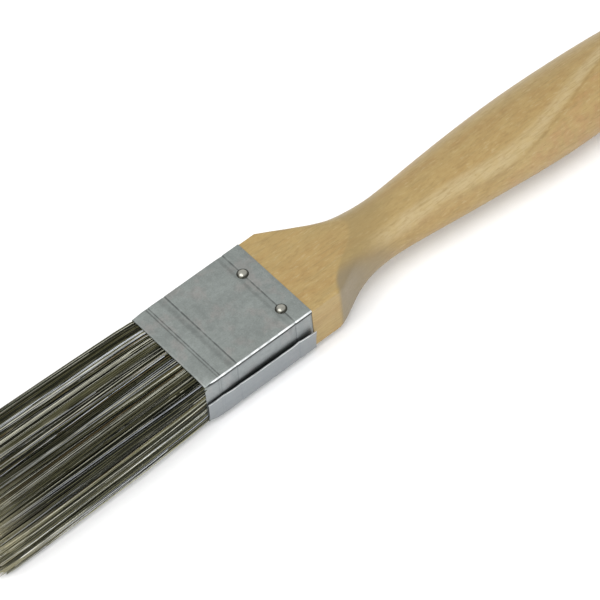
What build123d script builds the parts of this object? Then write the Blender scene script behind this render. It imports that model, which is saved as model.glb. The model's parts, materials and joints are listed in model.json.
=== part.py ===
from build123d import *
import math
import os

# A flat paintbrush lying on its back.
# X runs from the filament tips (-X) to the hanging end of the handle (+X), Y is across the width
# with the ferrule's lap seam on -Y, and Z points out of the front face.
# The origin is at the middle of the footprint, on the surface that the brush lies on.

# Driving dimensions, in millimetres.
BRUSH_WIDTH = 25.4
FERRULE_DEPTH = 13.1
FERRULE_LENGTH = 30.2
FILAMENT_REACH = 61.5
HANDLE_REACH = 120.3
GRIP_DEPTH = 16.0

# Ferrule sheet: one strip wrapped round the brush and lapped on its -Y side.
SHEET = 0.3
FOLD_RADIUS = 0.6
LAP_GAP = 0.06
OUTER_FLAP_TOP = -0.4
INNER_FLAP_END = -5.2
BEAD_DEPTH = 0.12
BEADS = ((3.2, 5.2), (6.6, 9.3), (23.4, 26.0))

# Pins through the ferrule into the handle's tenon.
PIN_FROM_MOUTH = 25.7
PIN_SPREAD = 6.55
PIN_SHIFT = -1.05
PIN_SHANK_RADIUS = 0.62
PIN_HOLE_RADIUS = 0.65
PIN_LENGTH = 5.4
PIN_POINT = 1.4
PIN_HEAD_RADIUS = 1.4
PIN_HEAD_HEIGHT = 0.6

# Handle: a tenon that fits the ferrule, a block, then sculpted sides, a neck and a full grip.
BLOCK_WIDTH = 25.2
BLOCK_DEPTH = 12.9
BLOCK_EDGE = 0.6
BLOCK_OUT = 5.2
TENON_WIDTH = 24.6
TENON_DEPTH = 12.3
TENON_EDGE = 0.9
TENON_LENGTH = 13.2
TENON_OVERLAP = 1.0
BEAD_SEAT_DEPTH = 0.2
HOLE_RADIUS = 3.0
HOLE_FROM_END = 11.5
HOLE_SHIFT = -3.8

# Handle sections: distance past the block, half width, shift across, half depth, squareness and the
# height of the planed flat. The handle leans a little towards the lap seam, so the shift grows
# along it. A squareness of 2 is an ellipse, and a large one is nearly a rectangle. The flat cuts
# off what stands above it, with a sanded edge, and a section with no flat has None.
# The first section is inside the ferrule and wider than the block, which trims it.
FLAT = BLOCK_DEPTH / 2
HANDLE_SECTIONS = (
    (-6.0, 14.6, 0.0, 8.7, 8.0, FLAT),
    (-2.0, 13.4, 0.1, 8.7, 8.0, FLAT),
    (0.0, 12.65, -0.35, 8.7, 8.0, FLAT),
    (3.1, 11.6, -1.0, 8.5, 6.5, FLAT),
    (6.6, 10.0, -1.2, 8.1, 5.0, FLAT),
    (10.6, 8.45, -1.15, 7.3, 3.6, FLAT),
    (14.6, 7.75, -1.12, 6.5, 2.6, FLAT),
    (18.6, 7.5, -1.18, 6.0, 2.2, None),
    (23.6, 7.33, -1.42, 5.9, 2.1, None),
    (29.6, 7.8, -1.64, 5.95, 2.0, None),
    (39.6, 8.77, -1.88, 6.35, 2.0, None),
    (54.6, 9.94, -2.3, 7.2, 2.0, None),
    (68.6, 10.55, -2.85, 7.8, 2.0, None),
    (80.0, 10.4, -3.2, 7.99, 2.0, None),
    (92.6, 9.85, -3.55, 7.8, 2.0, None),
    (101.0, 9.0, -3.75, 7.2, 2.0, None),
    (108.0, 7.6, -3.95, 6.2, 2.0, None),
    (112.5, 5.8, -4.1, 4.7, 2.0, None),
    (114.5, 3.8, -4.15, 3.1, 2.0, None),
    (115.1, 2.2, -4.17, 1.7, 2.0, None),
)
FLAT_EDGE_SHARPNESS = 12
TRIM_REACH = 4.0

# Filament head: distance from the ferrule mouth towards the tips, half width, half depth and
# corner radius. The first stretch lies inside the ferrule, behind the mouth. Both faces are
# flat beyond the flat half depth.
HEAD_FLAT = 7.0
HEAD_BUTT = 2.0
HEAD_SECTIONS = (
    (-HEAD_BUTT, 12.2, 6.05, 0.8),
    (0.0, 12.3, 6.15, 0.8),
    (5.0, 12.75, 6.5, 0.9),
    (20.0, 13.05, 6.8, 1.0),
    (38.0, 13.35, 7.05, 1.1),
    (54.0, 13.6, 7.2, 1.3),
    (59.5, 13.2, 6.8, 1.6),
    (61.5, 12.4, 6.1, 1.9),
)

# Spacer plug and the resin that sets the filament butts.
PLUG_WIDTH = 21.0
PLUG_DEPTH = 2.4
PLUG_OUT = 5.0
PLUG_NOSE = 0.8
PLUG_WEDGE = 2.0
SETTING_WIDTH = 24.2
SETTING_DEPTH = 11.9
SETTING_EDGE = 0.8

SECTION_POINTS = 72
MARGIN = 5.0

# Stations along X and the height of the brush's middle plane, worked out from the sizes above.
LENGTH = FILAMENT_REACH + FERRULE_LENGTH + HANDLE_REACH
TIP_X = -LENGTH / 2
MOUTH_X = TIP_X + FILAMENT_REACH
COLLAR_X = MOUTH_X + FERRULE_LENGTH
BLOCK_END_X = COLLAR_X + BLOCK_OUT
END_X = LENGTH / 2
BUTT_X = MOUTH_X + HEAD_BUTT
TENON_X = COLLAR_X - TENON_LENGTH
PIN_X = MOUTH_X + PIN_FROM_MOUTH
HOLE_X = END_X - HOLE_FROM_END
MIDDLE_Z = GRIP_DEPTH / 2


def box_between(low, high):
    """A plain box from its lowest to its highest corner."""
    size = [top - bottom for bottom, top in zip(low, high)]
    middle = [(top + bottom) / 2 for bottom, top in zip(low, high)]
    return Pos(*middle) * Box(*size)


def handle_section(x, half_width, shift, half_depth, squareness, flat):
    """A section across the handle at x, from an ellipse to nearly a rectangle, planed at the flat."""
    points = []
    for step in range(SECTION_POINTS):
        turn = 2 * math.pi * step / SECTION_POINTS
        across, up = math.cos(turn), math.sin(turn)
        reach = (abs(across) ** squareness + abs(up) ** squareness) ** (-1 / squareness)
        height = half_depth * reach * up
        if flat:
            height /= (1 + abs(height / flat) ** FLAT_EDGE_SHARPNESS) ** (1 / FLAT_EDGE_SHARPNESS)
        points.append((x, shift + half_width * reach * across, MIDDLE_Z + height))
    return make_face(Spline(*points, periodic=True))


def sheet_profile():
    """The ferrule sheet's section along X on its inner flap: flat, with rolled beads."""
    height = MIDDLE_Z + INNER_FLAP_END

    def edge(depth):
        y = -BRUSH_WIDTH / 2 + depth
        lines = []
        x = MOUTH_X
        for start, stop in BEADS:
            lines.append(Line((x, y, height), (MOUTH_X + start, y, height)))
            x = MOUTH_X + stop
            middle = (MOUTH_X + (start + stop) / 2, y + BEAD_DEPTH, height)
            lines.append(ThreePointArc((MOUTH_X + start, y, height), middle, (x, y, height)))
        lines.append(Line((x, y, height), (COLLAR_X, y, height)))
        return lines

    outside = -BRUSH_WIDTH / 2
    inside = outside + SHEET
    ends = [
        Line((MOUTH_X, outside, height), (MOUTH_X, inside, height)),
        Line((COLLAR_X, outside, height), (COLLAR_X, inside, height)),
    ]
    return make_face(edge(0) + edge(SHEET) + ends)


def pin_places():
    """Each pin's name, its Y and the side of the brush that it enters from."""
    places = []
    for face, side in (("front", 1), ("back", -1)):
        for hand, y in (("left", PIN_SPREAD), ("right", -PIN_SPREAD)):
            places.append((f"ferrule_pin_{face}_{hand}", PIN_SHIFT + y, side))
    return places


def pin_holes():
    """Straight holes for all four pins, as deep as the pins are long."""
    holes = []
    for _, y, side in pin_places():
        reach = PIN_LENGTH + MARGIN
        middle = MIDDLE_Z + side * (FERRULE_DEPTH / 2 - PIN_LENGTH + reach / 2)
        holes.append(Pos(PIN_X, y, middle) * Cylinder(PIN_HOLE_RADIUS, reach))
    return holes


def make_ferrule():
    half = BRUSH_WIDTH / 2
    top = MIDDLE_Z + FERRULE_DEPTH / 2
    bottom = MIDDLE_Z - FERRULE_DEPTH / 2
    lapped = -half - SHEET - LAP_GAP
    path = FilletPolyline(
        (MOUTH_X, -half, MIDDLE_Z + INNER_FLAP_END),
        (MOUTH_X, -half, top),
        (MOUTH_X, half, top),
        (MOUTH_X, half, bottom),
        (MOUTH_X, lapped, bottom),
        (MOUTH_X, lapped, MIDDLE_Z + OUTER_FLAP_TOP),
        radius=FOLD_RADIUS,
    )
    return sweep(sheet_profile(), path=path) - pin_holes()


def make_pin(y, side):
    """A domed pin that stands on the ferrule's face, with its point in the tenon."""
    head_low = FERRULE_DEPTH / 2
    ball = (PIN_HEAD_RADIUS**2 + PIN_HEAD_HEIGHT**2) / (2 * PIN_HEAD_HEIGHT)
    drop = ball - math.sqrt(ball**2 - PIN_HEAD_RADIUS**2 / 4)
    shoulder = head_low + PIN_HEAD_HEIGHT - drop
    outline = [
        Line((0, head_low - PIN_LENGTH), (PIN_SHANK_RADIUS, head_low - PIN_LENGTH + PIN_POINT)),
        Line((PIN_SHANK_RADIUS, head_low - PIN_LENGTH + PIN_POINT), (PIN_SHANK_RADIUS, head_low)),
        Line((PIN_SHANK_RADIUS, head_low), (PIN_HEAD_RADIUS, head_low)),
        ThreePointArc(
            (PIN_HEAD_RADIUS, head_low),
            (PIN_HEAD_RADIUS / 2, shoulder),
            (0, head_low + PIN_HEAD_HEIGHT),
        ),
        Line((0, head_low + PIN_HEAD_HEIGHT), (0, head_low - PIN_LENGTH)),
    ]
    profile = Plane.XZ * make_face(outline)
    pin = revolve(profile, axis=Axis.Z)
    if side < 0:
        pin = Rot(180, 0, 0) * pin
    return Pos(PIN_X, y, MIDDLE_Z) * pin


def board_between(start, stop, width, depth, edge):
    """A straight stretch of board along X, with eased long edges."""
    board = Pos((start + stop) / 2, 0, MIDDLE_Z) * Box(stop - start, width, depth)
    return fillet(board.edges().filter_by(Axis.X), edge)


def make_tenon():
    """The straight tenon inside the ferrule, with a seat for the bead that is rolled into it."""
    tenon = board_between(
        TENON_X, COLLAR_X + TENON_OVERLAP, TENON_WIDTH, TENON_DEPTH, TENON_EDGE
    )
    start, stop = BEADS[-1]
    low = MOUTH_X + start - SHEET
    high = MOUTH_X + stop + SHEET
    core_width = TENON_WIDTH - 2 * BEAD_SEAT_DEPTH
    core_depth = TENON_DEPTH - 2 * BEAD_SEAT_DEPTH
    core = board_between(low, high, core_width, core_depth, TENON_EDGE - BEAD_SEAT_DEPTH)
    collar = Pos((low + high) / 2, 0, MIDDLE_Z) * Box(high - low, BRUSH_WIDTH, FERRULE_DEPTH)
    return tenon - (collar - core)


def make_shaft():
    """The sculpted handle from the ferrule's collar on, with its shoulder trimmed to the board."""
    faces = []
    for past, *section in HANDLE_SECTIONS:
        faces.append(handle_section(BLOCK_END_X + past, *section))
    start = BLOCK_END_X + HANDLE_SECTIONS[0][0]
    stop = BLOCK_END_X + TRIM_REACH
    outside = Pos((start + stop) / 2, 0, MIDDLE_Z) * Box(stop - start, 2 * BRUSH_WIDTH, 2 * GRIP_DEPTH)
    board = board_between(COLLAR_X, stop + MARGIN, BLOCK_WIDTH, BLOCK_DEPTH, BLOCK_EDGE)
    return loft(faces) - (outside - board)


def make_handle():
    hole = Pos(HOLE_X, HOLE_SHIFT, MIDDLE_Z) * Cylinder(HOLE_RADIUS, GRIP_DEPTH + MARGIN)
    return make_tenon() + make_shaft() - hole - pin_holes()


def make_head():
    """The whole filament head with flat faces, before it is parted round the plug."""
    faces = []
    for out, half_width, half_depth, corner in HEAD_SECTIONS:
        outline = Plane.YZ * RectangleRounded(2 * half_width, 2 * half_depth, corner)
        faces.append(Pos(MOUTH_X - out, 0, MIDDLE_Z) * outline)
    low = (TIP_X - MARGIN, -BRUSH_WIDTH, MIDDLE_Z - HEAD_FLAT)
    high = (BUTT_X + MARGIN, BRUSH_WIDTH, MIDDLE_Z + HEAD_FLAT)
    return loft(faces) & box_between(low, high)


def make_plug():
    """A flat spacer from the resin to just outside the mouth, with a wedged leading edge."""
    nose = MOUTH_X - PLUG_OUT
    half = PLUG_DEPTH / 2
    outline = Polyline(
        (nose, -PLUG_NOSE / 2),
        (nose + PLUG_WEDGE, -half),
        (BUTT_X, -half),
        (BUTT_X, half),
        (nose + PLUG_WEDGE, half),
        (nose, PLUG_NOSE / 2),
        close=True,
    )
    wedge = extrude(Plane.XZ * make_face(outline), amount=PLUG_WIDTH / 2, both=True)
    return Pos(0, 0, MIDDLE_Z) * wedge


def make_filament_packs():
    """The front and back packs, which meet past the plug."""
    head = make_head() - make_plug()
    packs = {}
    for face, side in (("front", 1), ("back", -1)):
        far = MIDDLE_Z + side * GRIP_DEPTH
        low = (TIP_X - MARGIN, -BRUSH_WIDTH, min(MIDDLE_Z, far))
        high = (BUTT_X + MARGIN, BRUSH_WIDTH, max(MIDDLE_Z, far))
        packs[f"filament_pack_{face}"] = head & box_between(low, high)
    return packs


def make_setting():
    """The block of set resin between the filament butts and the tenon."""
    low = (BUTT_X, -SETTING_WIDTH / 2, MIDDLE_Z - SETTING_DEPTH / 2)
    high = (TENON_X, SETTING_WIDTH / 2, MIDDLE_Z + SETTING_DEPTH / 2)
    setting = box_between(low, high)
    return fillet(setting.edges().filter_by(Axis.X), SETTING_EDGE)


def main():
    parts = {
        "handle": make_handle(),
        "ferrule": make_ferrule(),
        "spacer_plug": make_plug(),
        "epoxy_setting": make_setting(),
    }
    for name, y, side in pin_places():
        parts[name] = make_pin(y, side)
    parts.update(make_filament_packs())

    os.makedirs("parts", exist_ok=True)
    for name, shape in parts.items():
        export_step(shape, f"parts/{name}.step")
        size = shape.bounding_box().size
        print(f"{name}: {size.X:.2f} x {size.Y:.2f} x {size.Z:.2f} mm, {shape.volume:.1f} mm3")


main()
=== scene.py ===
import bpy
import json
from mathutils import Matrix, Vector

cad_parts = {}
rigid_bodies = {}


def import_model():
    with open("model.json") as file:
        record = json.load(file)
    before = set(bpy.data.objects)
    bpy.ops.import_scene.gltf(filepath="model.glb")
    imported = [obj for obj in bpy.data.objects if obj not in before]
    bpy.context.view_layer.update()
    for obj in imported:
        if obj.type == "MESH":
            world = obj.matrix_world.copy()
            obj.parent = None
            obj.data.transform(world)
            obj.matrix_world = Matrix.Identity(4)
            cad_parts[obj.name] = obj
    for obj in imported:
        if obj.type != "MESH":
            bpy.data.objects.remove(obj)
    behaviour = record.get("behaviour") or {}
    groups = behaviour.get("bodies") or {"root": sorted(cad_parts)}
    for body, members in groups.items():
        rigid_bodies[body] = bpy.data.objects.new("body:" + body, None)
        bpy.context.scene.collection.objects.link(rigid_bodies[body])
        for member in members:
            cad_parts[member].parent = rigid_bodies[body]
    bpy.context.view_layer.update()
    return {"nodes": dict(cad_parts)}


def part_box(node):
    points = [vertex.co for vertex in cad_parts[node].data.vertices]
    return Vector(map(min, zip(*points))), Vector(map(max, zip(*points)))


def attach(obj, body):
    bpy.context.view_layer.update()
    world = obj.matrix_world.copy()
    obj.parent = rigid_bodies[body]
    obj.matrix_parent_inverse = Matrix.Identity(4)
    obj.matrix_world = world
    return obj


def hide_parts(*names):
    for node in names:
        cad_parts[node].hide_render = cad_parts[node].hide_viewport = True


bl_info = {
    "name": "Flat Paintbrush",
    "version": (1, 0, 0),
    "blender": (4, 5, 0),
    "location": "3D View > Sidebar > Paintbrush",
    "description": "Builds the finished look of a flat paintbrush around its packed CAD model",
    "category": "Object",
}

import json
import math

import bpy
import numpy as np
from mathutils import Matrix, Vector

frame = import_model()

MM = 0.001
BODY = "root"

# Where the CAD pieces are.
FERRULE_LOW, FERRULE_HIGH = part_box("ferrule")
FRONT_LOW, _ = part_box("filament_pack_front")
PLUG_LOW, PLUG_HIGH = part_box("spacer_plug")
MOUTH_X = FERRULE_LOW.x
COLLAR_X = FERRULE_HIGH.x
MIDDLE_Z = FRONT_LOW.z
FACE_HIGH_Z = FERRULE_HIGH.z
FACE_LOW_Z = FERRULE_LOW.z
FAR_SIDE_Y = FERRULE_HIGH.y


# ---------------------------------------------------------------- settings


class FilamentSettings(bpy.types.PropertyGroup):
    lock_pitch: bpy.props.FloatProperty(
        name="Lock pitch", description="Distance between neighbouring locks at the mouth",
        default=0.70 * MM, min=0.4 * MM, unit="LENGTH", precision=5)
    per_lock: bpy.props.IntProperty(
        name="Filaments in a lock", description="Filaments that lie together in one lock",
        default=15, min=1, max=40)
    root_radius: bpy.props.FloatProperty(
        name="Root radius", description="Radius of a filament inside the ferrule",
        default=0.100 * MM, unit="LENGTH", precision=6)
    tip_radius: bpy.props.FloatProperty(
        name="Tip radius", description="Radius of a filament at its tapered tip",
        default=0.062 * MM, unit="LENGTH", precision=6)
    spread: bpy.props.FloatProperty(
        name="Wander", description="How far a lock strays sideways by its tip",
        default=0.60 * MM, unit="LENGTH", precision=5)
    seed: bpy.props.IntProperty(name="Seed", description="Seed of every random draw", default=11)
    # The dark filaments are made darker than their own colour, to paint the shade in the gaps between
    # locks as well.
    dark: bpy.props.FloatVectorProperty(
        name="Dark", description="Colour of the dark filaments", subtype="COLOR",
        default=(0.008, 0.009, 0.003), min=0, max=1)
    middle: bpy.props.FloatVectorProperty(
        name="Middle", description="Colour of the taupe filaments", subtype="COLOR",
        default=(0.100, 0.096, 0.048), min=0, max=1)
    pale: bpy.props.FloatVectorProperty(
        name="Pale", description="Colour of the pale grey filaments", subtype="COLOR",
        default=(0.48, 0.475, 0.39), min=0, max=1)
    # The cool white filaments partly stand in for the bluish-white highlights on the strands: a painted
    # highlight.
    cool: bpy.props.FloatVectorProperty(
        name="Cool", description="Colour of the cool white filaments", subtype="COLOR",
        default=(0.43, 0.45, 0.475), min=0, max=1)
    amber: bpy.props.FloatVectorProperty(
        name="Amber", description="Colour of the amber filaments", subtype="COLOR",
        default=(0.105, 0.075, 0.028), min=0, max=1)
    tips: bpy.props.FloatVectorProperty(
        name="Tips", description="Colour that the frayed tips fade to", subtype="COLOR",
        default=(0.40, 0.370, 0.235), min=0, max=1)


class FerruleSettings(bpy.types.PropertyGroup):
    sheet: bpy.props.FloatProperty(
        name="Sheet", description="Thickness of the steel sheet",
        default=0.3 * MM, unit="LENGTH", precision=5)
    fold_radius: bpy.props.FloatProperty(
        name="Fold radius", description="Outside radius of the four folds",
        default=0.42 * MM, unit="LENGTH", precision=5)
    groove_depth: bpy.props.FloatProperty(
        name="Groove depth", description="How deep the crimped grooves are pressed",
        default=0.10 * MM, unit="LENGTH", precision=5)
    gap: bpy.props.FloatProperty(
        name="Lap gap", description="How far the outer flap stands off at the collar",
        default=0.75 * MM, unit="LENGTH", precision=5)
    mouth_opening: bpy.props.FloatProperty(
        name="Mouth rounding", description="How far the mouth's corners are drawn in",
        default=0.28 * MM, unit="LENGTH", precision=5)


class FinishSettings(bpy.types.PropertyGroup):
    wood: bpy.props.FloatVectorProperty(
        name="Birch", description="Main colour of the handle", subtype="COLOR",
        default=(0.294, 0.213, 0.083), min=0, max=1)
    wood_pale: bpy.props.FloatVectorProperty(
        name="Pale birch", description="Colour of the pale streaks", subtype="COLOR",
        default=(0.375, 0.293, 0.155), min=0, max=1)
    wood_warm: bpy.props.FloatVectorProperty(
        name="Warm birch", description="Colour of the warm figure", subtype="COLOR",
        default=(0.278, 0.176, 0.060), min=0, max=1)
    steel: bpy.props.FloatVectorProperty(
        name="Tinned steel", description="Colour of the ferrule sheet", subtype="COLOR",
        default=(0.258, 0.281, 0.268), min=0, max=1)
    pin: bpy.props.FloatVectorProperty(
        name="Pin steel", description="Colour of the polished pins", subtype="COLOR",
        default=(0.38, 0.375, 0.33), min=0, max=1)


class StageSettings(bpy.types.PropertyGroup):
    azimuth: bpy.props.FloatProperty(
        name="Azimuth", description="Camera's turn round the brush", subtype="ANGLE",
        default=math.radians(-35.03))
    elevation: bpy.props.FloatProperty(
        name="Elevation", description="Camera's height above the horizon", subtype="ANGLE",
        default=math.radians(52.71))
    roll: bpy.props.FloatProperty(
        name="Roll", description="Camera's turn about its own line of sight", subtype="ANGLE",
        default=math.radians(6.48))
    distance: bpy.props.FloatProperty(
        name="Distance", description="Camera's distance from the aim point",
        default=1.109, unit="LENGTH")
    lens: bpy.props.FloatProperty(
        name="Lens", description="Focal length", default=303.2, unit="CAMERA")
    aim_along: bpy.props.FloatProperty(
        name="Aim along", description="Aim point's distance from the ferrule mouth",
        default=33.1 * MM, unit="LENGTH", precision=5)
    aim_across: bpy.props.FloatProperty(
        name="Aim across", description="Aim point's place across the brush",
        default=-4.55 * MM, unit="LENGTH", precision=5)
    floor: bpy.props.FloatVectorProperty(
        name="Floor", description="Colour of the floor", subtype="COLOR",
        default=(0.93, 0.93, 0.93), min=0, max=1)


GROUPS = {
    "brush_filaments": FilamentSettings,
    "brush_ferrule": FerruleSettings,
    "brush_finish": FinishSettings,
    "brush_stage": StageSettings,
}


# ---------------------------------------------------------------- helpers


def deselect():
    """Leaves nothing selected and nothing active."""
    for thing in bpy.context.view_layer.objects:
        thing.select_set(False)
    bpy.context.view_layer.objects.active = None


def only(piece):
    """Selects one object and makes it active."""
    deselect()
    piece.select_set(True)
    bpy.context.view_layer.objects.active = piece
    return piece


def added(name):
    """Names the primitive that was just added."""
    piece = bpy.context.object
    piece.name = name
    piece.data.name = name
    return piece


def pick(piece, test):
    """Selects the vertices that pass the test, with the edges and faces between them."""
    bpy.ops.object.mode_set(mode="OBJECT")
    mesh = piece.data
    chosen = [bool(test(vertex.co)) for vertex in mesh.vertices]
    for vertex in mesh.vertices:
        vertex.select = chosen[vertex.index]
    for edge in mesh.edges:
        edge.select = all(chosen[end] for end in edge.vertices)
    for face in mesh.polygons:
        face.select = all(chosen[corner] for corner in face.vertices)
    bpy.ops.object.mode_set(mode="EDIT")


def near(value, goal, slack=0.01 * MM):
    return abs(value - goal) < slack


def cut_across(axis, stations):
    """Cuts the mesh in edit mode with planes square to one axis."""
    normal = [float(axis == other) for other in range(3)]
    for station in stations:
        bpy.ops.mesh.select_all(action="SELECT")
        bpy.ops.mesh.bisect(plane_co=[share * station for share in normal], plane_no=normal)


def applied(piece, kind, **values):
    """Adds a modifier, sets it and applies it."""
    only(piece)
    modifier = piece.modifiers.new(kind.lower(), kind)
    for key, value in values.items():
        setattr(modifier, key, value)
    bpy.ops.object.modifier_apply(modifier=modifier.name)


def smoothstep(low, high, value):
    share = np.clip((value - low) / (high - low), 0, 1)
    return share * share * (3 - 2 * share)


class Shader:
    """A short way to build one procedural material."""

    def __init__(self, name):
        self.material = bpy.data.materials.new(name)
        self.material.use_nodes = True
        self.tree = self.material.node_tree
        self.surface = self.tree.nodes["Principled BSDF"]
        self.place = self.add("ShaderNodeTexCoord").outputs["Object"]

    def add(self, kind, **values):
        node = self.tree.nodes.new(kind)
        for key, value in values.items():
            setattr(node, key, value)
        return node

    def link(self, output, socket):
        self.tree.links.new(output, socket)

    def feed(self, socket, value):
        if hasattr(value, "is_output"):
            self.link(value, socket)
        else:
            socket.default_value = value

    def set(self, **values):
        for key, value in values.items():
            self.feed(self.surface.inputs[key.replace("_", " ")], value)

    def stretched(self, scale, turn=(0, 0, 0), offset=(0, 0, 0)):
        node = self.add("ShaderNodeMapping")
        self.link(self.place, node.inputs["Vector"])
        node.inputs["Scale"].default_value = scale
        node.inputs["Rotation"].default_value = turn
        node.inputs["Location"].default_value = offset
        return node.outputs["Vector"]

    def noise(self, vector, scale=1.0, detail=4.0, roughness=0.55, distortion=0.0):
        node = self.add("ShaderNodeTexNoise")
        self.link(vector, node.inputs["Vector"])
        node.inputs["Scale"].default_value = scale
        node.inputs["Detail"].default_value = detail
        node.inputs["Roughness"].default_value = roughness
        node.inputs["Distortion"].default_value = distortion
        return node.outputs["Fac"]

    def ramp(self, value, low, high, bottom=0.0, top=1.0):
        node = self.add("ShaderNodeMapRange")
        node.interpolation_type = "SMOOTHSTEP"
        self.feed(node.inputs["Value"], value)
        node.inputs["From Min"].default_value = low
        node.inputs["From Max"].default_value = high
        node.inputs["To Min"].default_value = bottom
        node.inputs["To Max"].default_value = top
        return node.outputs["Result"]

    def mix(self, factor, first, second, blend="MIX"):
        node = self.add("ShaderNodeMix", data_type="RGBA", blend_type=blend)
        self.feed(node.inputs["Factor"], factor)
        self.feed(node.inputs["A"], first)
        self.feed(node.inputs["B"], second)
        return node.outputs["Result"]

    def maths(self, operation, first, second=0.0):
        node = self.add("ShaderNodeMath", operation=operation)
        self.feed(node.inputs[0], first)
        self.feed(node.inputs[1], second)
        return node.outputs[0]

    def axes(self):
        """The place on the brush as separate X, Y and Z, in millimetres."""
        node = self.add("ShaderNodeSeparateXYZ")
        self.link(self.place, node.inputs["Vector"])
        return [self.maths("DIVIDE", node.outputs[axis], MM) for axis in "XYZ"]

    def band(self, value, centre, flat, soft):
        """One inside a band round the centre, fading to nothing past its soft edge."""
        away = self.maths("ABSOLUTE", self.maths("SUBTRACT", value, centre))
        return self.ramp(away, flat, flat + soft, 1.0, 0.0)

    def both(self, first, second):
        return self.maths("MULTIPLY", first, second)

    def bump(self, height, strength, distance):
        node = self.add("ShaderNodeBump")
        self.link(height, node.inputs["Height"])
        node.inputs["Strength"].default_value = strength
        node.inputs["Distance"].default_value = distance
        self.link(node.outputs["Normal"], self.surface.inputs["Normal"])


def shade(colour, factor=1.0):
    """A colour property as a socket value, made lighter or darker."""
    return (*[min(1.0, channel * factor) for channel in colour], 1.0)


# ---------------------------------------------------------------- finishes


# The growth ring that shows as a pale streak along the grip: its Y is a curve of X, in millimetres.
RING_Y, RING_SLOPE, RING_CURVE, RING_X = -8.1, 0.035, 0.0026, 42.0
RING_SPACING = 2.6
RING_WAVE, RING_WAVE_LENGTH, RING_CREST = 1.0, 58.0, 24.0
RING_SWAY = 2.2
FLAME = (0.305, 0.180, 0.075)
# Where the block's flat face ends in an arch: its tip and how sharply it falls back to either side. Past
# the arch, painted shade darkens the neck and the scoop.
ARCH_X, ARCH_Y, ARCH_FALL, ARCH_DROP = 7.1, 1.7, 0.140, 14.2
# Colour of the painted shade on the scooped side of the neck.
SCOOP_SHADE = (0.158, 0.130, 0.086)


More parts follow.
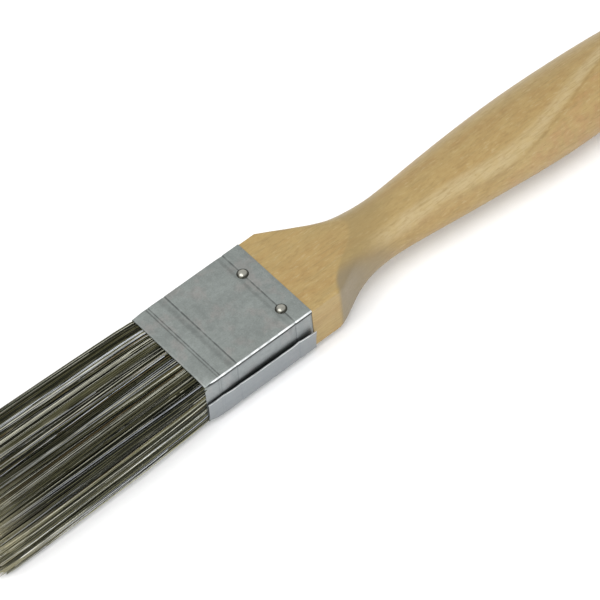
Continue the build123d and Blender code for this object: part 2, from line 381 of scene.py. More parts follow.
def birch(finish):
    """Lacquered birch: long fine fibres, short pores, a pale growth ring and a warm flame figure, with
    painted shade on the neck past the arch and on the scoop.
    """
    wood = Shader("lacquered_birch")
    x, y, _ = wood.axes()
    along = wood.maths("SUBTRACT", x, RING_X)
    curve = wood.both(wood.both(along, along), RING_CURVE)
    line = wood.maths("ADD", wood.maths("ADD", curve, wood.both(along, RING_SLOPE)), RING_Y)
    phase = wood.both(wood.maths("SUBTRACT", x, RING_CREST), 2 * math.pi / RING_WAVE_LENGTH)
    line = wood.maths("ADD", line, wood.both(wood.maths("COSINE", phase), RING_WAVE))
    sway = wood.noise(wood.stretched((38, 110, 110)), detail=3)
    sway = wood.both(wood.maths("SUBTRACT", sway, 0.5), RING_SWAY)
    ring = wood.maths("ADD", wood.maths("SUBTRACT", y, line), sway)
    broad = wood.noise(wood.stretched((16, 150, 150)), detail=3, distortion=0.6)
    fibre = wood.noise(wood.stretched((160, 2400, 2400)), detail=5, roughness=0.65)
    pores = wood.noise(wood.stretched((700, 4200, 4200)), detail=2, roughness=0.5)
    fleck = wood.noise(wood.stretched((520, 1900, 1900)), detail=4, roughness=0.6)
    flame = wood.noise(wood.stretched((300, 170, 170)), detail=4, roughness=0.6)
    mottle = wood.noise(wood.stretched((260, 420, 420)), detail=3, roughness=0.6)
    colour = wood.mix(wood.ramp(broad, 0.36, 0.66, 0, 0.85), shade(finish.wood), shade(finish.wood_warm))
    on_grip = wood.ramp(x, 2.0, 14.0)
    streak = wood.both(wood.band(ring, 0.0, 0.4, 1.9), on_grip)
    colour = wood.mix(wood.both(streak, 0.80), colour, shade(finish.wood_pale))
    beside = wood.both(wood.band(ring, -1.9, 0.05, 0.55), on_grip)
    colour = wood.mix(wood.both(beside, 0.5), colour, shade(finish.wood_warm, 0.80))
    warm_side = wood.both(wood.ramp(ring, -1.8, -3.6), wood.ramp(x, 36.0, 48.0))
    warm_side = wood.both(warm_side, wood.ramp(flame, 0.36, 0.62, 0.25, 1.0))
    colour = wood.mix(wood.both(warm_side, 0.75), colour, shade(FLAME))
    shoulder = wood.both(wood.ramp(x, 3.0, -6.0), wood.ramp(mottle, 0.35, 0.6, 0.3, 0.8))
    colour = wood.mix(wood.both(shoulder, 0.55), colour, shade(finish.wood_warm, 1.12))
    latewood = wood.maths("SINE", wood.both(ring, 2 * math.pi / RING_SPACING))
    colour = wood.mix(wood.ramp(latewood, 0.75, 1.0, 0, 0.20), colour, shade(finish.wood_warm, 0.82))
    colour = wood.mix(wood.ramp(mottle, 0.40, 0.66, 0, 0.45), colour, shade(finish.wood, 1.14))
    colour = wood.mix(wood.ramp(fibre, 0.46, 0.68, 0, 0.52), colour, shade(finish.wood, 0.80))
    colour = wood.mix(wood.ramp(fleck, 0.52, 0.68, 0, 0.36), colour, shade(finish.wood_warm, 0.72))
    colour = wood.mix(wood.ramp(fleck, 0.45, 0.30, 0, 0.36), colour, shade(finish.wood_pale, 1.06))
    colour = wood.mix(wood.ramp(pores, 0.66, 0.78, 0, 0.20), colour, shade(finish.wood_warm, 0.6))
    aside = wood.maths("SUBTRACT", y, ARCH_Y)
    past = wood.maths("SUBTRACT", x, ARCH_X)
    fall = wood.maths("TANH", wood.both(wood.both(aside, aside), ARCH_FALL / ARCH_DROP))
    past = wood.maths("ADD", past, wood.both(fall, ARCH_DROP))
    # Painted shade on the neck past the arch, where the carved surface turns from the light.
    neck_shade = wood.both(wood.ramp(past, -0.5, 0.9), wood.ramp(past, 17.0, 5.0))
    colour = wood.mix(wood.both(neck_shade, 0.56), colour, shade(finish.wood, 0.76))
    # Painted shade on the scooped side, darker towards the near side.
    scoop = wood.both(wood.both(wood.ramp(past, -0.3, 1.2), wood.ramp(y, -6.0, -10.0)), 0.72)
    scoop = wood.both(scoop, wood.ramp(x, 16.0, 7.0))
    colour = wood.mix(scoop, colour, shade(SCOOP_SHADE))
    wood.set(Base_Color=colour, Roughness=wood.ramp(fibre, 0.3, 0.8, 0.40, 0.54))
    wood.set(Coat_Weight=0.10, Coat_Roughness=0.30, Specular_IOR_Level=0.35)
    wood.bump(wood.maths("ADD", fibre, wood.both(pores, -0.5)), 0.12, 0.05 * MM)
    return wood.material


# Painted shade along the grooves and at the mouth: distance from the mouth, half width, soft edge,
# strength.
GROOVE_SHADE_LINES = (
    (0.0, 0.08, 0.12, 0.60),
    (3.80, 0.06, 0.18, 0.62),
    (4.45, 0.06, 0.15, 0.75),
    (7.8, 0.25, 0.65, 0.26),
    (9.14, 0.12, 0.12, 0.88),
    (24.2, 0.15, 0.45, 0.25),
    (25.64, 0.12, 0.12, 0.88),
)
# Colours of the reddish blotches painted as reflections, of the painted bluish reflection on the lapped
# side and the outer flap, and of the painted highlight on the folds and the flap's edge.
REFLECTION_BLOTCH = (0.335, 0.305, 0.290)
LAPPED_REFLECTION, FLAP_REFLECTION = (0.290, 0.303, 0.330), (0.290, 0.305, 0.330)
PAINTED_HIGHLIGHT = (0.86, 0.88, 0.88)
# Heights above the middle plane, in millimetres: the shadow under the front fold and the fold itself.
UNDER_FOLD, FOLD_STARTS, FOLD_FULL = 5.84, 6.20, 6.32


def tinned_steel(finish):
    """Tinned sheet: rolling lines, soft clouds, reddish blotches painted as reflections, painted shade
    in the grooves, a painted bluish reflection on the lap and painted highlights on the folds and flap
    edge.
    """
    steel = Shader("tinned_steel")
    x, y, z = steel.axes()
    out = steel.maths("SUBTRACT", x, MOUTH_X / MM)
    up = steel.maths("SUBTRACT", z, MIDDLE_Z / MM)
    rolling = steel.noise(steel.stretched((60, 4200, 4200)), detail=3, roughness=0.6)
    crosswise = steel.noise(steel.stretched((3200, 90, 90)), detail=3, roughness=0.6)
    clouds = steel.noise(steel.stretched((90, 130, 130)), detail=3)
    grain = steel.noise(steel.stretched((2600, 2600, 2600)), detail=3, roughness=0.7)
    blotch_noise = steel.noise(steel.stretched((210, 190, 190), offset=(0.2, 0.1, 0)), detail=3)
    wear = steel.noise(steel.stretched((700, 700, 700)), detail=2)
    clouded = steel.ramp(clouds, 0.3, 0.7)
    colour = steel.mix(clouded, shade(finish.steel, 0.97), shade(finish.steel, 1.05))
    colour = steel.mix(steel.ramp(rolling, 0.5, 0.75, 0, 0.25), colour, shade(finish.steel, 0.84))
    colour = steel.mix(steel.ramp(crosswise, 0.52, 0.75, 0, 0.22), colour, shade(finish.steel, 1.18))
    # Reddish blotches painted as reflections on the sheet.
    colour = steel.mix(steel.ramp(blotch_noise, 0.50, 0.68, 0, 0.48), colour, shade(REFLECTION_BLOTCH))
    colour = steel.mix(steel.ramp(grain, 0.50, 0.68, 0, 0.42), colour, shade(finish.steel, 1.28))
    colour = steel.mix(steel.ramp(grain, 0.48, 0.30, 0, 0.46), colour, shade(finish.steel, 0.72))
    colour = steel.mix(steel.ramp(wear, 0.45, 0.7, 0, 0.42), colour, shade(finish.steel, 0.78))
    colour = steel.mix(steel.ramp(wear, 0.45, 0.25, 0, 0.42), colour, shade(finish.steel, 1.20))
    on_faces = steel.ramp(steel.maths("ABSOLUTE", y), 12.30, 12.55, 1.0, 0.25)
    # Painted shade in the grooves and at the mouth, broken up by the wear noise.
    for centre, flat, soft, strength in GROOVE_SHADE_LINES:
        groove_shade = steel.both(steel.band(out, centre, flat, soft), steel.ramp(wear, 0.25, 0.6, 0.6, 1.0))
        groove_shade = steel.both(groove_shade, on_faces)
        colour = steel.mix(steel.both(groove_shade, strength), colour, shade(finish.steel, 0.30))
    # Painted bluish reflection on the lapped side and the outer flap.
    lapped = steel.ramp(y, -12.30, -12.42)
    flap = steel.both(steel.ramp(y, -12.72, -12.80), 0.4)
    colour = steel.mix(steel.both(lapped, 0.35), colour, shade(LAPPED_REFLECTION))
    colour = steel.mix(flap, colour, shade(FLAP_REFLECTION))
    under_fold = steel.both(steel.band(up, UNDER_FOLD, 0.30, 0.12), lapped)
    colour = steel.mix(steel.both(under_fold, 0.92), colour, shade(finish.steel, 0.12))
    # Painted highlight along the front fold and the outer flap's edge, broken up by the wear noise.
    folded = steel.both(steel.ramp(y, -12.30, -12.42), steel.ramp(up, FOLD_STARTS, FOLD_FULL))
    flap_edge = steel.band(up, OUTER_FLAP_TOP / MM, 0.05, 0.08)
    flap_edge = steel.both(flap_edge, steel.ramp(y, -12.75, -12.85))
    highlight = steel.maths("MAXIMUM", folded, steel.both(flap_edge, 0.75))
    highlight = steel.both(highlight, steel.ramp(wear, 0.3, 0.65, 0.45, 1.0))
    colour = steel.mix(highlight, colour, shade(PAINTED_HIGHLIGHT))
    cloud_rough = steel.ramp(clouds, 0.3, 0.7, 0.36, 0.46)
    roll_rough = steel.ramp(rolling, 0.3, 0.8, 0, 0.06)
    rough = steel.maths("ADD", cloud_rough, roll_rough)
    steel.set(Base_Color=colour, Roughness=rough, Metallic=1.0)
    steel.bump(steel.maths("ADD", rolling, grain), 0.12, 0.03 * MM)
    return steel.material


# A pin head gets a painted dark reflection between these distances from its centre, in millimetres.
RIM_DARK_FROM, RIM_DARK_TO = 0.74, 1.16
RIM_DARK_REFLECTION = (0.030, 0.030, 0.024)


def pin_steel(finish):
    """Polished pin heads with a painted dark reflection round their rims, mottled tarnish and tool
    chatter.
    """
    pin = Shader("pin_steel")
    x, y, _ = pin.axes()
    low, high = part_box("ferrule_pin_front_left")
    other_low, other_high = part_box("ferrule_pin_front_right")
    middle = (low.y + high.y + other_low.y + other_high.y) / 4 / MM
    spread = (low.y + high.y - other_low.y - other_high.y) / 4 / MM
    along = pin.maths("SUBTRACT", x, (low.x + high.x) / 2 / MM)
    across = pin.maths("SUBTRACT", y, middle)
    across = pin.maths("SUBTRACT", pin.maths("ABSOLUTE", across), spread)
    reach = pin.maths("SQRT", pin.maths("ADD", pin.both(along, along), pin.both(across, across)))
    tarnish = pin.noise(pin.stretched((900, 900, 900)), detail=3)
    chatter = pin.noise(pin.stretched((2400, 2400, 2400)), detail=2)
    colour = pin.mix(pin.ramp(tarnish, 0.4, 0.7), shade(finish.pin), shade(finish.pin, 0.66))
    # Painted dark reflection round each head's rim.
    colour = pin.mix(pin.ramp(reach, RIM_DARK_FROM, RIM_DARK_TO, 0, 0.96), colour, shade(RIM_DARK_REFLECTION))
    pin.set(Base_Color=colour, Roughness=pin.ramp(tarnish, 0.3, 0.7, 0.16, 0.30), Metallic=1.0)
    pin.bump(chatter, 0.30, 0.06 * MM)
    return pin.material


def filament_gloss():
    """Drawn synthetic filament: its own colour, a slight sheen and slow variation along it."""
    strand = Shader("filament_gloss")
    own = strand.add("ShaderNodeAttribute", attribute_name="filament_colour").outputs["Color"]
    along = strand.noise(strand.stretched((140, 1300, 1300)), detail=2)
    colour = strand.mix(strand.ramp(along, 0.42, 0.72, 0, 0.45), own, (0.010, 0.011, 0.003, 1.0))
    colour = strand.mix(strand.ramp(along, 0.40, 0.22, 0, 0.25), colour, (0.42, 0.41, 0.33, 1.0))
    strand.set(Base_Color=colour, Roughness=0.38, Specular_IOR_Level=0.22)
    return strand.material


def set_resin():
    """Amber two-part resin with trapped bubbles."""
    resin = Shader("set_resin")
    bubbles = resin.noise(resin.stretched((700, 700, 700)), detail=2)
    cloud = resin.noise(resin.stretched((120, 120, 120)), detail=3)
    colour = resin.mix(resin.ramp(cloud, 0.3, 0.7), (0.30, 0.17, 0.06, 1), (0.42, 0.27, 0.11, 1))
    resin.set(Base_Color=colour, Roughness=resin.ramp(bubbles, 0.4, 0.7, 0.25, 0.45))
    resin.bump(bubbles, 0.3, 0.1 * MM)
    return resin.material


def raw_plug_wood():
    """Unfinished softwood strip."""
    plug = Shader("raw_plug_wood")
    grain = plug.noise(plug.stretched((1500, 90, 1500)), detail=4, roughness=0.6)
    colour = plug.mix(plug.ramp(grain, 0.35, 0.7), (0.62, 0.47, 0.27, 1), (0.46, 0.32, 0.17, 1))
    plug.set(Base_Color=colour, Roughness=0.8)
    plug.bump(grain, 0.3, 0.08 * MM)
    return plug.material


def floor_paper(stage):
    """Matt white backdrop paper."""
    paper = Shader("floor_paper")
    tooth = paper.noise(paper.stretched((300, 300, 300)), detail=3)
    colour = paper.mix(paper.ramp(tooth, 0.3, 0.7), shade(stage.floor), shade(stage.floor, 0.985))
    paper.set(Base_Color=colour, Roughness=0.9, Specular_IOR_Level=0.1)
    return paper.material


def dress(node, material):
    """Gives a CAD node its finish through its material slots."""
    piece = frame["nodes"][node]
    if not piece.material_slots:
        piece.data.materials.append(material)
    for slot in piece.material_slots:
        slot.material = material


# ---------------------------------------------------------------- filaments

# The head's outline from the mouth to the tips: distance out, half width and half depth.
HEAD_OUTLINE = (
    (-2.0 * MM, 12.10 * MM, 5.95 * MM),
    (0.0, 12.34 * MM, 6.14 * MM),
    (1.2 * MM, 12.56 * MM, 6.34 * MM),
    (6.0 * MM, 12.70 * MM, 6.44 * MM),
    (20.0 * MM, 13.00 * MM, 6.70 * MM),
    (38.0 * MM, 13.30 * MM, 6.95 * MM),
    (54.0 * MM, 13.50 * MM, 7.10 * MM),
    (59.5 * MM, 13.20 * MM, 6.85 * MM),
    (61.5 * MM, 12.60 * MM, 6.40 * MM),
)
STRAND_SIDES = 3
STRAND_STEPS = 9
STEP_CROWDING = 1.4
ROOT_DEPTH = 2.0 * MM
PACK_PIECES = 6
# Where filaments end, out from the mouth: furthest in the middle, less by the sides and the faces.
LONGEST, FURTHEST_TIP, SHORTEST_TIP = 60.9 * MM, 61.4 * MM, 44 * MM
SIDE_FALL, FACE_FALL = 2.2 * MM, 1.8 * MM
LOCK_UNEVEN, OWN_UNEVEN = 0.7 * MM, 1.3 * MM
SHORT_SHARE, SHORT_BY = 0.05, (2 * MM, 9 * MM)
# The two halves part round the plug and close beyond its nose. Beside the plug they never part.
CLOSES_FROM, CLOSES_BY = 5 * MM, 36 * MM
BESIDE_PLUG, CLEAR_OF_PLUG = 0.83, 0.88
PLUG_CLEARANCE = 0.1 * MM
# How locks stray: in full this far out, with a few that cross over their neighbours.
FULL_STRAY_AT = 60 * MM
CROSSING_SHARE, CROSSING_STRAY = 0.14, 2.6
LOOSE_SHARE, LOOSE_STRAY, KEPT_STRAY = 0.12, 1.5, 0.22
LOCK_FILL, TIP_FAN = 0.40, 0.25
# Where the colour of the frayed tips comes in.
FADE_FROM, FADE_FULL = 44 * MM, 60 * MM
KINDS = ("dark", "middle", "pale", "cool", "amber")
KIND_SHARES = (0.44, 0.28, 0.16, 0.06, 0.06)


def head_half(out, column):
    stations = [row[0] for row in HEAD_OUTLINE]
    return np.interp(out, stations, [row[column] for row in HEAD_OUTLINE])


def one_filament():
    """One straight filament, modelled once: a thin prism with rings along it and a closed tip."""
    deselect()
    bpy.ops.mesh.primitive_cylinder_add(
        vertices=STRAND_SIDES, radius=1, depth=1, location=(0, 0, 0.5), end_fill_type="TRIFAN")
    strand = added("one_filament")
    bpy.ops.object.transform_apply(location=True, rotation=True, scale=True)
    bpy.ops.object.mode_set(mode="EDIT")
    for step in range(1, STRAND_STEPS):
        bpy.ops.mesh.select_all(action="SELECT")
        bpy.ops.mesh.bisect(plane_co=(0, 0, step / STRAND_STEPS), plane_no=(0, 0, 1))
    bpy.ops.object.mode_set(mode="OBJECT")
    mesh = strand.data
    points = np.zeros(len(mesh.vertices) * 3)
    mesh.vertices.foreach_get("co", points)
    faces = [tuple(face.vertices) for face in mesh.polygons if face.center.z > 1e-5]
    bpy.data.objects.remove(strand)
    return points.reshape(-1, 3), faces


def lock_centres(pitch, draw):
    """Lock places across the mouth as shares of its half width and half depth, -1 to 1."""
    half_width, half_depth = head_half(0, 1), head_half(0, 2)
    inset = pitch * 0.42
    columns = int(round(2 * (half_width - inset) / pitch))
    rows = int(round(2 * (half_depth - inset) / (pitch * 0.9)))
    places = []
    for row in range(rows + 1):
        for column in range(columns + 1):
            stagger = 0.25 if row % 2 else -0.25
            across = (column + stagger * (0 < column < columns)) / columns * 2 - 1
            up = row / rows * 2 - 1
            y = across * (half_width - inset) + draw.normal(0, 0.09 * pitch)
            z = up * (half_depth - inset) + draw.normal(0, 0.07 * pitch)
            places.append((y / half_width, z / half_depth))
    return np.array(places)


def filament_ends(across, up, draw, owner):
    """How far each filament reaches: the head is slightly domed and no two ends are level."""
    reach = LONGEST - SIDE_FALL * np.abs(across) ** 5 - FACE_FALL * np.abs(up) ** 4
    locks = owner.max() + 1
    reach += draw.normal(0, LOCK_UNEVEN, locks)[owner]
    reach -= np.abs(draw.normal(0, OWN_UNEVEN, len(owner)))
    short = draw.uniform(0, 1, len(owner)) < SHORT_SHARE
    reach -= np.where(short, draw.uniform(*SHORT_BY, len(owner)), 0)
    return np.clip(reach, SHORTEST_TIP, FURTHEST_TIP)


def filament_lines(across, up, out, settings, draw, owner):
    """Each filament's Y and height along its length."""
    locks = owner.max() + 1
    half_width, half_depth = head_half(out, 1), head_half(out, 2)
    plug_half = (PLUG_HIGH.z - PLUG_LOW.z) / 2 + PLUG_CLEARANCE
    parted = np.sign(up)[:, None] * (plug_half + np.abs(up)[:, None] * (half_depth - plug_half))
    beside_plug = smoothstep(BESIDE_PLUG, CLEAR_OF_PLUG, np.abs(across))[:, None]
    closing = np.maximum(smoothstep(CLOSES_FROM, CLOSES_BY, out), beside_plug)
    y = across[:, None] * half_width
    z = parted * (1 - closing) + up[:, None] * half_depth * closing

    # A lock strays a little by its tip, and a few cross over their neighbours.
    grow = np.clip(out, 0, None) / FULL_STRAY_AT
    stray = draw.normal(0, 1, (locks, 4))
    crossing = draw.uniform(0, 1, locks) < CROSSING_SHARE
    stray[:, 0] = np.where(crossing, stray[:, 0] * CROSSING_STRAY, stray[:, 0])
    stray = stray[owner]
    sway = np.sin(out / FULL_STRAY_AT * (2.5 + np.abs(stray[:, 2:3])) + stray[:, 3:4] * 3)
    y += settings.spread * (stray[:, 0:1] + 0.10 * sway) * grow
    z += settings.spread * 0.3 * stray[:, 1:2] * grow

    # Inside its lock a filament keeps its place, fans out by its tip, and a few hang loose.
    count = len(owner)
    turn = draw.uniform(0, 2 * math.pi, count)
    radius = np.sqrt(draw.uniform(0, 1, count)) * settings.lock_pitch * LOCK_FILL
    fan = 1 + TIP_FAN * grow
    y += (radius * np.cos(turn))[:, None] * fan
    z += (radius * np.sin(turn))[:, None] * fan
    loosened = draw.uniform(0, 1, count) < LOOSE_SHARE
    width = np.where(loosened, LOOSE_STRAY, KEPT_STRAY)[:, None]
    loose = draw.normal(0, 1, (count, 2)) * width
    y += settings.spread * loose[:, 0:1] * grow
    z += settings.spread * loose[:, 1:2] * grow * 0.25

    # Inside the mouth nothing passes the sheet, and outside it nothing strays far from the head.
    slack = 0.30 * MM * smoothstep(0.5 * MM, 12 * MM, out)
    limit_y = half_width + slack
    limit_z = half_depth + slack
    return np.clip(y, -limit_y, limit_y), np.clip(z, -limit_z, limit_z)


def filament_colours(out, across, up, settings, draw, owner):
    """Mixed dark, taupe, pale, cool and amber filaments, some fading to a paler tip, with painted bounce
    light on the lower near side.
    """
    locks, count = owner.max() + 1, len(owner)
    palette = np.array([tuple(getattr(settings, kind)) for kind in KINDS])
    kinds = draw.choice(len(KINDS), size=locks, p=KIND_SHARES)[owner]
    own = draw.choice(len(KINDS), size=count, p=KIND_SHARES)
    kinds = np.where(draw.uniform(0, 1, count) < 0.68, own, kinds)
    shade_of_lock = draw.uniform(0.65, 1.3, locks)[owner]
    colour = palette[kinds] * (draw.uniform(0.6, 1.35, count) * shade_of_lock)[:, None]
    of_lock = draw.uniform(0, 1, locks)[owner]
    strength = smoothstep(0.34, 0.72, 0.5 * of_lock + 0.5 * draw.uniform(0, 1, count))[:, None]
    # Painted bounce light: strands on the lower near side are made lighter, standing in for light from
    # the floor.
    bounce_lit = smoothstep(0.84, 0.97, -across) * smoothstep(0.5, -0.7, up)
    colour = colour * (1 + 0.9 * bounce_lit)[:, None] + 0.03 * bounce_lit[:, None]
    fade = (smoothstep(FADE_FROM, FADE_FULL, out) * strength)[..., None]
    return colour[:, None, :] * (1 - fade) + np.array(settings.tips)[None, None] * fade


def filament_arrays(settings):
    """Every filament's centre line, radius and colour, and where it stands in the mouth."""
    draw = np.random.default_rng(settings.seed)
    centres = lock_centres(settings.lock_pitch, draw)
    owner = np.repeat(np.arange(len(centres)), settings.per_lock)
    across, up = centres[owner, 0], centres[owner, 1]
    ends = filament_ends(across, up, draw, owner)
    steps = np.linspace(0, 1, STRAND_STEPS + 1) ** STEP_CROWDING
    out = -ROOT_DEPTH + (ends[:, None] + ROOT_DEPTH) * steps[None]
    y, z = filament_lines(across, up, out, settings, draw, owner)
    taper = np.clip(out / ends[:, None], 0, 1) ** 1.8
    radius = settings.root_radius + (settings.tip_radius - settings.root_radius) * taper
    radius = radius * draw.uniform(0.75, 1.2, len(owner))[:, None]
    colour = filament_colours(out, across, up, settings, draw, owner)
    centre = np.stack([MOUTH_X - out, y, MIDDLE_Z + z], axis=2)
    return centre, radius, np.clip(colour, 0, 1), across, up


def strand_mesh(name, centre, radius, colour, template, faces):
    """Copies of the one filament, each laid along its own line, as one mesh."""
    count = len(centre)
    step = np.rint(template[:, 2] * STRAND_STEPS).astype(int)
    points = centre[:, step, :].copy()
    points[:, :, 1] += template[None, :, 0] * radius[:, step]
    points[:, :, 2] += template[None, :, 1] * radius[:, step]
    per = len(template)
    corners = np.array([corner for face in faces for corner in face])
    sizes = np.array([len(face) for face in faces])
    all_corners = (corners[None] + per * np.arange(count)[:, None]).ravel()
    all_sizes = np.tile(sizes, count)
    starts = np.concatenate([[0], np.cumsum(all_sizes)[:-1]])
    mesh = bpy.data.meshes.new(name)
    mesh.vertices.add(count * per)
    mesh.vertices.foreach_set("co", points.astype(np.float32).ravel())
    mesh.loops.add(len(all_corners))
    mesh.loops.foreach_set("vertex_index", all_corners.astype(np.int32))
    mesh.polygons.add(len(all_sizes))
    mesh.polygons.foreach_set("loop_start", starts.astype(np.int32))
    mesh.polygons.foreach_set("use_smooth", np.ones(len(all_sizes), bool))
    mesh.update(calc_edges=True)
    mesh.validate()
    tint = mesh.attributes.new("filament_colour", "FLOAT_COLOR", "POINT")
    rgba = np.ones((count, per, 4), np.float32)
    rgba[..., :3] = colour[:, step, :]
    tint.data.foreach_set("color", rgba.ravel())
    piece = bpy.data.objects.new(name, mesh)
    bpy.context.scene.collection.objects.link(piece)
    return piece


class BRUSH_OT_filaments(bpy.types.Operator):
    """Lay thousands of tapered filaments in locks round the spacer plug"""

    bl_idname = "brush.filaments"
    bl_label = "Filaments"

    def execute(self, context):
        settings = context.scene.brush_filaments
        template, faces = one_filament()
        centre, radius, colour, across, up = filament_arrays(settings)
        gloss = filament_gloss()
        for side, node in (("front", "filament_pack_front"), ("back", "filament_pack_back")):
            in_side = up >= 0 if side == "front" else up < 0
            order = np.flatnonzero(in_side)
            order = order[np.argsort(across[order], kind="stable")]
            for number, members in enumerate(np.array_split(order, PACK_PIECES), start=1):
                piece = strand_mesh(
                    f"filaments_{side}_{number}", centre[members], radius[members],
                    colour[members], template, faces)
                piece.data.materials.append(gloss)
                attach(piece, BODY)
                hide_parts(node)
        return {"FINISHED"}


class BRUSH_OT_handle(bpy.types.Operator):
    """Finish the handle in lacquered birch"""

    bl_idname = "brush.handle"
    bl_label = "Handle"

    def execute(self, context):
        dress("handle", birch(context.scene.brush_finish))
        return {"FINISHED"}


# The sheet's outside surface from the inner flap, over the front, far side and back, to the outer
# flap. Each point is its Y and its height above the middle plane.
HALF_WIDTH = FAR_SIDE_Y
HALF_DEPTH = FACE_HIGH_Z - MIDDLE_Z
INNER_FLAP_Y = -12.48 * MM
OUTER_FLAP_Y = -13.0 * MM
OUTER_FLAP_TOP = 0.05 * MM
WRAP = (
    (INNER_FLAP_Y, -5.2 * MM),
    (INNER_FLAP_Y, 5.15 * MM),
    (-12.66 * MM, 5.75 * MM),
    (-HALF_WIDTH, HALF_DEPTH),
    (HALF_WIDTH, HALF_DEPTH),
    (HALF_WIDTH, -HALF_DEPTH),
    (OUTER_FLAP_Y, -HALF_DEPTH),
    (OUTER_FLAP_Y, OUTER_FLAP_TOP),
)
FOLDS = WRAP[3:7]
# Stations from the mouth, and how deep the sheet is pressed there as a share of the groove depth.
GROOVES = (
    (3.6, 0.0), (3.9, 0.40), (4.15, 0.22), (4.45, 0.50), (4.9, 0.0),
    (6.7, 0.0), (7.8, 0.10), (8.6, 0.25), (8.9, 0.60), (9.05, 0.70), (9.25, 0.05), (9.5, 0.0),
    (23.2, 0.0), (24.1, 0.18), (25.0, 0.35), (25.4, 0.80), (25.55, 0.90), (25.75, 0.05), (26.0, 0.0),
)
PLAIN_STATIONS = (
    0.5, 1.2, 2.2, 10.6, 12.0, 13.5, 15.0, 16.5, 18.0, 19.5, 21.0, 22.2, 27.0, 28.2, 29.3,
)
# Where the sheet is cut across its width and its depth, so that it can be dented and bent.
WIDTH_CUTS = (-11.6, -10, -8, -6, -4, -2, 0, 2, 4, 6, 8, 10, 11.6)
DEPTH_CUTS = (-4.6, -3.4, -2.3, -1.4, -0.8, 1, 2, 3, 4, 4.8)
# Stations from the mouth, and how far the outer flap stands off as a share of the lap gap.
GAP_WAVE = (
    (0.0, 0.10), (2.0, 0.22), (3.6, 0.12), (4.6, 0.20), (6.4, 0.44), (8.4, 0.46), (9.2, 0.42),
    (10.5, 0.50), (13.0, 0.60), (17.0, 0.62), (21.0, 0.66), (24.0, 0.70), (25.5, 0.54),
    (27.0, 0.75), (30.2, 1.0),
)


def folded_strip():
    """One flat strip, folded round the brush by pulling its edge from point to point."""
    deselect()
    bpy.ops.mesh.primitive_plane_add(size=1)
    strip = added("ferrule_sheet")
    length = COLLAR_X - MOUTH_X
    middle = (COLLAR_X + MOUTH_X) / 2
    for side, (y, height) in zip((-0.5, 0.5), WRAP):
        pick(strip, lambda co: near(co.y, side) and abs(co.z) < 1e-6)
        bpy.ops.transform.resize(value=(length, 1, 1), center_override=(0, 0, 0))
        bpy.ops.transform.translate(value=(middle, y - side, MIDDLE_Z + height))
    y, height = WRAP[1]
    pick(strip, lambda co: near(co.y, y) and near(co.z, MIDDLE_Z + height))
    for (y, height), (next_y, next_height) in zip(WRAP[1:], WRAP[2:]):
        step = (0, next_y - y, next_height - height)
        bpy.ops.mesh.extrude_region_move(TRANSFORM_OT_translate={"value": step})
    return strip


def press_grooves(sheet, depth):
    """Presses the crimped grooves into the sheet, ring by ring."""
    for station, share in GROOVES:
        if share:
            x = MOUTH_X + station * MM
            pick(sheet, lambda co: near(co.x, x))
            bpy.ops.transform.shrink_fatten(value=-depth * share)


def open_lap(sheet, gap):
    """Bends the outer flap's free edge off the inner flap, unevenly."""
    stations = [MOUTH_X + row[0] * MM for row in GAP_WAVE]
    shares = [row[1] for row in GAP_WAVE]
    for vertex in sheet.data.vertices:
        place = vertex.co
        if place.y < OUTER_FLAP_Y + 0.3 * MM and place.z < MIDDLE_Z + OUTER_FLAP_TOP + 0.01 * MM:
            height = (place.z - FACE_LOW_Z) / (OUTER_FLAP_TOP + HALF_DEPTH)
            wave = float(np.interp(place.x, stations, shares))
            place.y -= gap * wave * max(height, 0) ** 1.7


# The lapped side's corners are drawn in further than the far side's.
NEAR_CORNER, FAR_CORNER = 1.25, 0.45
CORNER_REACH, CORNER_SOFTNESS = 0.3 * MM, 3.2 * MM


def draw_in_mouth(sheet, reach):
    """Rounds the mouth's corners, where the folds open out."""
    for y, height in FOLDS:
        share = NEAR_CORNER if y < 0 else FAR_CORNER
        inward = (0, -math.copysign(reach * share, y), -math.copysign(reach * share, height))
        pick(sheet, lambda co: (
            near(co.x, MOUTH_X) and near(co.y, y, CORNER_REACH)
            and near(co.z, MIDDLE_Z + height, CORNER_REACH)))
        bpy.ops.transform.translate(
            value=inward, use_proportional_edit=True, proportional_edit_falloff="SMOOTH",
            proportional_size=CORNER_SOFTNESS)


def dent(sheet, place, push, size):
    """Pushes a soft dent into the sheet."""
    here = Vector(place)
    closest = min(sheet.data.vertices, key=lambda vertex: (vertex.co - here).length).co.copy()
    pick(sheet, lambda co: (co - closest).length < 1e-6)
    bpy.ops.transform.translate(
        value=push, use_proportional_edit=True, proportional_edit_falloff="SMOOTH",
        proportional_size=size)


# Soft dents: a place (out from the mouth, across, above the middle), the push there and its size.
DENTS = (
    ((16.0, 1.0, 6.55), (0, 0, -0.03), 8.0),
    ((12.0, -7.5, 6.55), (0, 0, 0.02), 4.5),
    ((20.0, -7.0, 6.55), (0, 0, 0.02), 4.0),
    ((2.0, 4.0, 6.55), (0, 0, -0.03), 3.5),
    ((28.6, 2.0, 6.55), (0, 0, -0.03), 4.0),
    ((14.0, -12.48, 3.2), (0, 0.10, 0), 4.0),
    ((24.0, -12.48, 4.0), (0, 0.08, 0), 2.2),
    ((6.0, -12.48, 3.0), (0, -0.07, 0), 2.5),
    ((18.0, -13.0, -3.5), (0, 0.06, 0), 4.0),
)


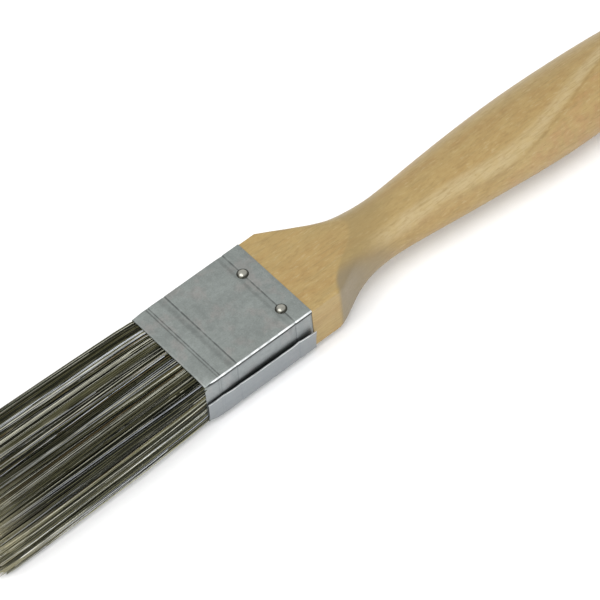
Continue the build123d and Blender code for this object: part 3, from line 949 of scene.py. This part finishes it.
class BRUSH_OT_ferrule(bpy.types.Operator):
    """Fold the ferrule from one strip of tinned steel, with crimped grooves and an open lap"""

    bl_idname = "brush.ferrule"
    bl_label = "Ferrule"

    def execute(self, context):
        settings = context.scene.brush_ferrule
        sheet = folded_strip()
        for y, height in FOLDS:
            pick(sheet, lambda co: near(co.y, y) and near(co.z, MIDDLE_Z + height))
            bpy.ops.mesh.bevel(
                offset=settings.fold_radius, offset_type="OFFSET", segments=6, affect="EDGES")
        cut_across(1, [y * MM for y in WIDTH_CUTS])
        cut_across(2, [MIDDLE_Z + z * MM for z in DEPTH_CUTS])
        stations = [row[0] for row in GROOVES] + list(PLAIN_STATIONS)
        cut_across(0, [MOUTH_X + station * MM for station in sorted(stations)])
        bpy.ops.mesh.select_all(action="SELECT")
        bpy.ops.mesh.normals_make_consistent(inside=False)
        press_grooves(sheet, settings.groove_depth)
        draw_in_mouth(sheet, settings.mouth_opening)
        for place, push, size in DENTS:
            here = (MOUTH_X + place[0] * MM, place[1] * MM, MIDDLE_Z + place[2] * MM)
            dent(sheet, here, [share * MM for share in push], size * MM)
        bpy.ops.object.mode_set(mode="OBJECT")
        open_lap(sheet, settings.gap)
        applied(sheet, "SOLIDIFY", thickness=settings.sheet, offset=-1, use_even_offset=True)
        applied(
            sheet, "BEVEL", width=0.05 * MM, segments=2, limit_method="ANGLE",
            angle_limit=math.radians(60))
        only(sheet)
        bpy.ops.object.shade_smooth_by_angle(angle=math.radians(35))
        sheet.data.materials.append(tinned_steel(context.scene.brush_finish))
        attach(sheet, BODY)
        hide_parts("ferrule")
        return {"FINISHED"}


class BRUSH_OT_pins(bpy.types.Operator):
    """Finish the pins in polished steel"""

    bl_idname = "brush.pins"
    bl_label = "Pins"

    def execute(self, context):
        polished = pin_steel(context.scene.brush_finish)
        for node in frame["nodes"]:
            if node.startswith("ferrule_pin"):
                dress(node, polished)
        return {"FINISHED"}


class BRUSH_OT_core(bpy.types.Operator):
    """Finish what the ferrule hides: the spacer plug and the resin"""

    bl_idname = "brush.core"
    bl_label = "Plug and resin"

    def execute(self, context):
        dress("spacer_plug", raw_plug_wood())
        dress("epoxy_setting", set_resin())
        return {"FINISHED"}


# ---------------------------------------------------------------- stage


def aimed(thing, place, target):
    thing.location = place
    thing.rotation_mode = "QUATERNION"
    thing.rotation_quaternion = (Vector(target) - Vector(place)).to_track_quat("-Z", "Y")


def add_area(name, place, target, size, power, tint):
    lamp = bpy.data.lights.new(name, "AREA")
    lamp.shape = "RECTANGLE"
    lamp.size, lamp.size_y = size
    lamp.energy = power
    lamp.color = tint
    lamp_object = bpy.data.objects.new(name, lamp)
    bpy.context.scene.collection.objects.link(lamp_object)
    aimed(lamp_object, place, target)


def add_camera(stage):
    aim = Vector((MOUTH_X + stage.aim_along, stage.aim_across, MIDDLE_Z))
    flat = math.cos(stage.elevation)
    back = Vector((
        math.sin(stage.azimuth) * flat,
        -math.cos(stage.azimuth) * flat,
        math.sin(stage.elevation),
    ))
    lens = bpy.data.cameras.new("camera")
    lens.lens = stage.lens
    lens.clip_start, lens.clip_end = 0.05, 20
    camera = bpy.data.objects.new("camera", lens)
    bpy.context.scene.collection.objects.link(camera)
    camera.location = aim + back * stage.distance
    upright = (-back).to_track_quat("-Z", "Y").to_matrix().to_4x4()
    tilt = Matrix.Rotation(-stage.roll, 4, "Z")
    camera.rotation_euler = (upright @ tilt).to_euler()
    bpy.context.scene.camera = camera


# Each light's place, size, power and tint.
LIGHTS = {
    "key_light": ((-0.70, 0.10, 1.25), (1.3, 1.3), 15, (1, 1, 1)),
    "fill_light": ((-0.30, -1.25, 0.60), (1.4, 0.8), 9, (0.96, 0.975, 1.0)),
}
WORLD_STRENGTH = 0.92


class BRUSH_OT_stage(bpy.types.Operator):
    """Set the floor, the soft light and the camera"""

    bl_idname = "brush.stage"
    bl_label = "Stage"

    def execute(self, context):
        stage = context.scene.brush_stage
        deselect()
        bpy.ops.mesh.primitive_plane_add(size=6)
        floor = added("floor")
        floor.data.materials.append(floor_paper(stage))
        target = (0, 0, MIDDLE_Z)
        for name, (place, size, power, tint) in LIGHTS.items():
            add_area(name, place, target, size, power, tint)
        world = bpy.data.worlds.new("soft_white")
        world.use_nodes = True
        background = world.node_tree.nodes["Background"].inputs
        background["Color"].default_value = (1, 1, 1, 1)
        background["Strength"].default_value = WORLD_STRENGTH
        context.scene.world = world
        context.scene.view_settings.view_transform = "Standard"
        add_camera(stage)
        return {"FINISHED"}


class BRUSH_PT_panel(bpy.types.Panel):
    """Everything that builds the brush"""

    bl_label = "Paintbrush"
    bl_idname = "BRUSH_PT_panel"
    bl_space_type = "VIEW_3D"
    bl_region_type = "UI"
    bl_category = "Paintbrush"

    def draw(self, context):
        for operator in OPERATORS:
            self.layout.operator(operator.bl_idname)
        for key, group in GROUPS.items():
            box = self.layout.box()
            for name in group.__annotations__:
                box.prop(getattr(context.scene, key), name)


OPERATORS = (
    BRUSH_OT_filaments,
    BRUSH_OT_handle,
    BRUSH_OT_ferrule,
    BRUSH_OT_pins,
    BRUSH_OT_core,
    BRUSH_OT_stage,
)


def register():
    for group in GROUPS.values():
        bpy.utils.register_class(group)
    for key, group in GROUPS.items():
        setattr(bpy.types.Scene, key, bpy.props.PointerProperty(type=group))
    for operator in OPERATORS:
        bpy.utils.register_class(operator)
    bpy.utils.register_class(BRUSH_PT_panel)


def unregister():
    bpy.utils.unregister_class(BRUSH_PT_panel)
    for operator in reversed(OPERATORS):
        bpy.utils.unregister_class(operator)
    for key in GROUPS:
        delattr(bpy.types.Scene, key)
    for group in reversed(tuple(GROUPS.values())):
        bpy.utils.unregister_class(group)


def main():
    register()
    bpy.ops.brush.filaments()
    bpy.ops.brush.handle()
    bpy.ops.brush.ferrule()
    bpy.ops.brush.pins()
    bpy.ops.brush.core()
    bpy.ops.brush.stage()


if __name__ == "__main__":
    main()
